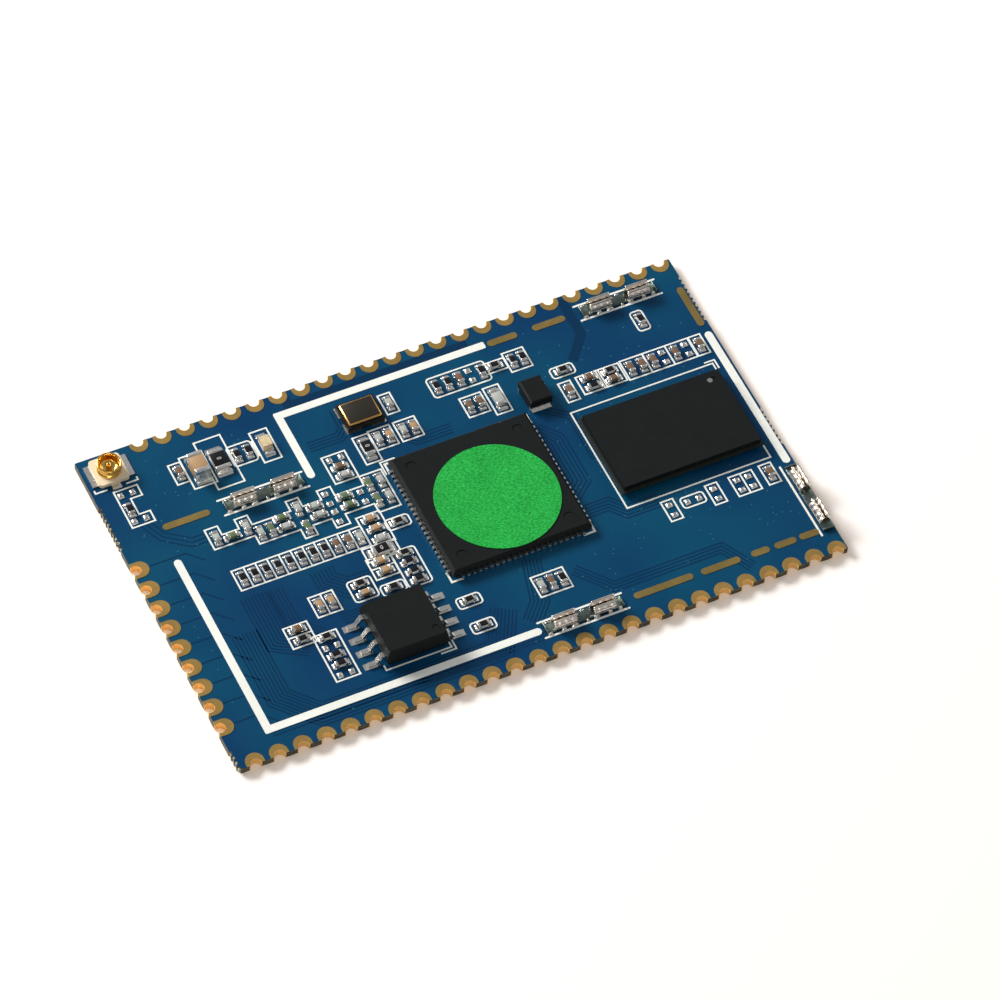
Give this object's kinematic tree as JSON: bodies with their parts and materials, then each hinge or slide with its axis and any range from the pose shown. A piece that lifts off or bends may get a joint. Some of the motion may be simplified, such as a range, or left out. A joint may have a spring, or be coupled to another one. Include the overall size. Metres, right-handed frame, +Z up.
{
  "type": "castellated wifi module",
  "caption": "Flat radio circuit module with plated half holes along three edges, an antenna socket, a labelled processor, memory chips and spring clips for a shield can.",
  "frame": {"origin": "middle of the board's underside", "axes": "+X along the long edge, +Y from the edge with the most contacts towards the antenna socket's edge, +Z up out of the component side"},
  "size_m": [0.0522, 0.0314, 0.0025],
  "materials": {
    "lacquered_board": "satin",
    "gold_plate": "satin",
    "white_print": "matte",
    "solder": "satin",
    "white_ceramic": "matte",
    "black_glass": "gloss",
    "tan_ceramic": "satin",
    "brown_ceramic": "satin",
    "grey_ceramic": "satin",
    "green_ceramic": "satin",
    "black_moulding": "matte",
    "green_label": "satin",
    "package_laminate": "matte",
    "dark_ceramic": "matte",
    "lid_metal": "satin",
    "cream_moulding": "matte",
    "spring_sheet": "satin",
    "clear_lens": "gloss"
  },
  "bodies": {
    "root": {"antenna_socket_base": "cream_moulding", "antenna_socket_pin": "gold_plate", "antenna_socket_shell": "gold_plate", "antenna_socket_tabs": "solder", "brown_capacitor_bodies": "brown_ceramic", "bulk_capacitor_body": "tan_ceramic", "bulk_capacitor_ends": "solder", "capacitor_ends": "solder", "chip_lands": "solder", "circuit_board": "lacquered_board", "crystal_base": "dark_ceramic", "crystal_lid": "lid_metal", "edge_contacts_back": "gold_plate", "edge_contacts_front": "gold_plate", "edge_contacts_left": "gold_plate", "filter_inductor_bodies": "green_ceramic", "filter_inductor_ends": "solder", "flash_body": "black_moulding", "flash_leads": "solder", "grey_capacitor_bodies": "grey_ceramic", "ground_strips": "gold_plate", "memory_balls": "solder", "memory_mould": "black_moulding", "memory_substrate": "package_laminate", "power_inductor_body": "dark_ceramic", "power_inductor_ends": "solder", "printed_frame": "white_print", "printed_outlines": "white_print", "processor_body": "black_moulding", "processor_label": "green_label", "processor_lead_tips": "solder", "processor_leads": "solder", "resistor_bodies": "white_ceramic", "resistor_coats": "black_glass", "resistor_ends": "solder", "shield_clip_back_left": "spring_sheet", "shield_clip_back_right": "spring_sheet", "shield_clip_front": "spring_sheet", "shield_clip_right": "spring_sheet", "status_lamp_base": "white_ceramic", "status_lamp_ends": "solder", "status_lamp_lens": "clear_lens", "tan_capacitor_bodies": "tan_ceramic"}
  },
  "joints": []
}
